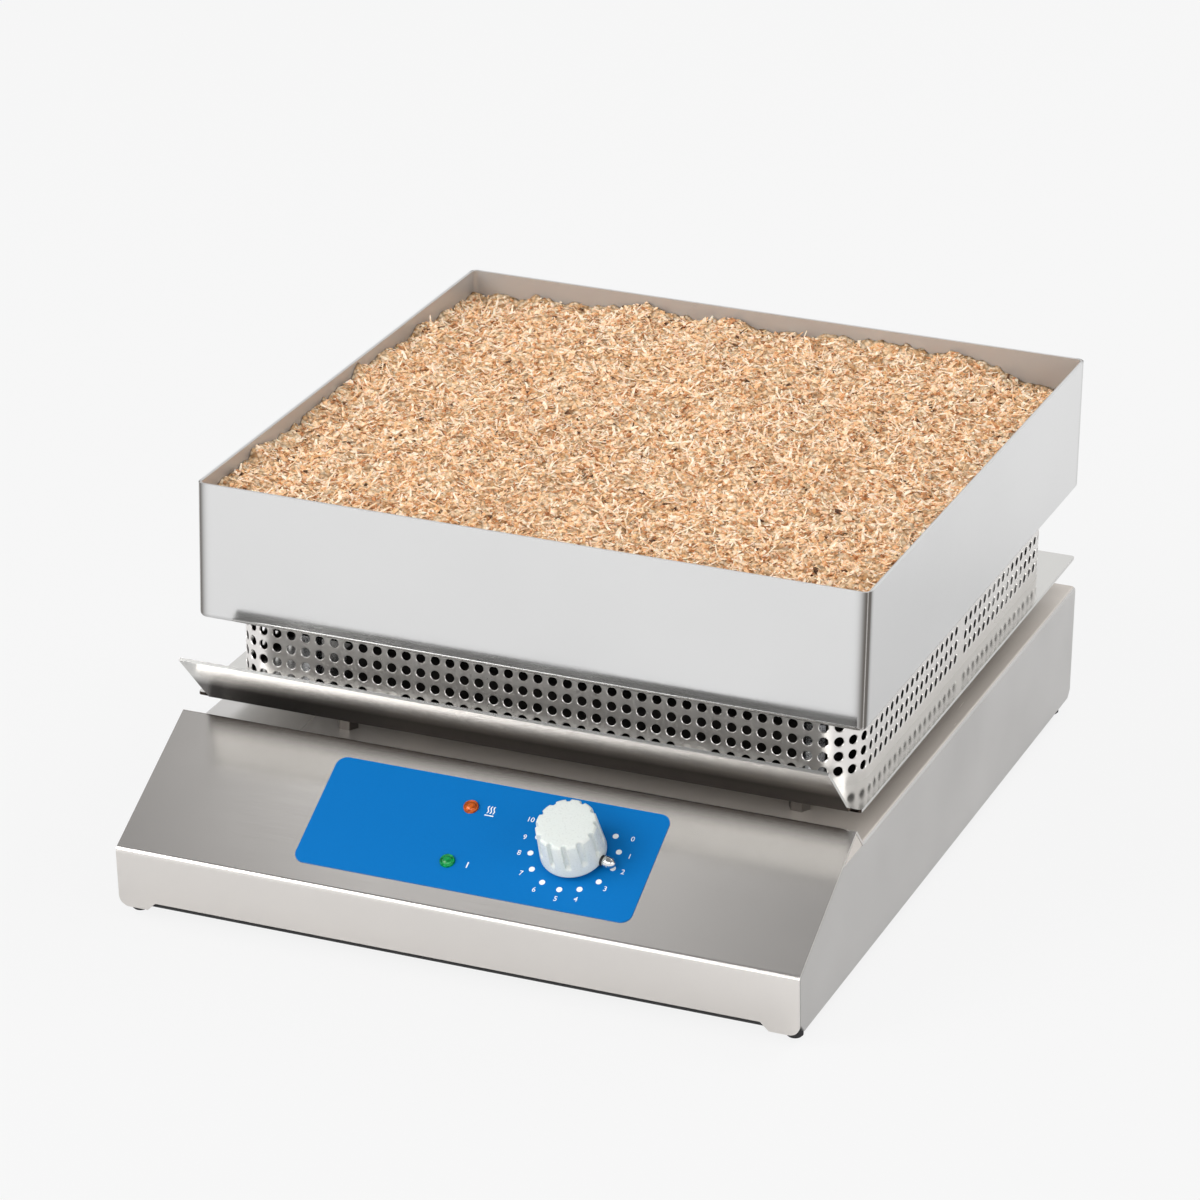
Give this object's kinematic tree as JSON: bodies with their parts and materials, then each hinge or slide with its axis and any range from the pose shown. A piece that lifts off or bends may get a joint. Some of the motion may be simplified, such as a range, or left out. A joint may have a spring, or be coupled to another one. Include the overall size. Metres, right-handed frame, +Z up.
{
  "type": "laboratory sand bath",
  "caption": "Bench sand bath: deep square tray of granular fill on a guarded heater, over a folded steel casing with a sloped dial panel.",
  "frame": {"origin": "on the floor under the middle of the outline", "axes": "+X to the right seen from the dial panel, +Y from the panel to the back, +Z up"},
  "size_m": [0.324, 0.4024, 0.18],
  "materials": {
    "casing_steel": "satin",
    "panel_steel": "satin",
    "base_steel": "matte",
    "foot_rubber": "matte",
    "overlay_film": "semi-gloss",
    "regulator_moulding": "matte",
    "plated_fasteners": "bright",
    "knob_plastic": "semi-gloss",
    "pointer_metal": "bright",
    "amber_lens": "gloss",
    "green_lens": "gloss",
    "lamp_moulding": "matte",
    "spacer_steel": "bright",
    "shield_steel": "polished",
    "guard_steel": "bright",
    "insulation_fibre": "matte",
    "element_sheath": "heat-darkened",
    "sleeve_ceramic": "matte",
    "clamp_steel": "satin",
    "bulb_copper": "satin",
    "plate_metal": "matte",
    "terminal_ceramic": "matte",
    "gland_moulding": "matte",
    "tray_steel": "satin",
    "fill_grit": "rough"
  },
  "bodies": {
    "base": {"case_body": "casing_steel", "front_panel": "panel_steel", "back_panel": "casing_steel", "base_plate": "base_steel", "rubber_feet": "foot_rubber", "control_overlay": "overlay_film", "regulator_body": "regulator_moulding", "regulator_nut": "plated_fasteners", "heat_lamp_lens": "amber_lens", "power_lamp_lens": "green_lens", "lamp_holders": "lamp_moulding", "spacers": "spacer_steel", "spacer_bolts": "plated_fasteners", "spacer_nuts": "plated_fasteners", "heat_shield": "shield_steel", "guard_band": "guard_steel", "guard_clips": "guard_steel", "insulation_board": "insulation_fibre", "heating_element": "element_sheath", "lead_sleeves": "sleeve_ceramic", "element_clamps": "clamp_steel", "clamp_screws": "plated_fasteners", "limiter_bulb": "bulb_copper", "heating_plate": "plate_metal", "plate_posts": "clamp_steel", "terminal_block": "terminal_ceramic", "cord_gland": "gland_moulding", "gland_nut": "gland_moulding"},
    "dial": {"regulator_spindle": "plated_fasteners", "knob": "knob_plastic", "knob_pointer": "pointer_metal"},
    "tray": {"sand_tray": "tray_steel", "sand_fill": "fill_grit"}
  },
  "joints": [
    {"name": "dial_turn", "type": "hinge", "parent": "base", "child": "dial", "pos_m": [0.0439, -0.16475, 0.05428], "axis": [0, 0.4852, -0.8744], "range_deg": [-100.8, 211.2]},
    {"name": "tray_lift", "type": "slide", "parent": "base", "child": "tray", "axis": [0, 0, 1], "range_m": [0, 0.15]}
  ]
}
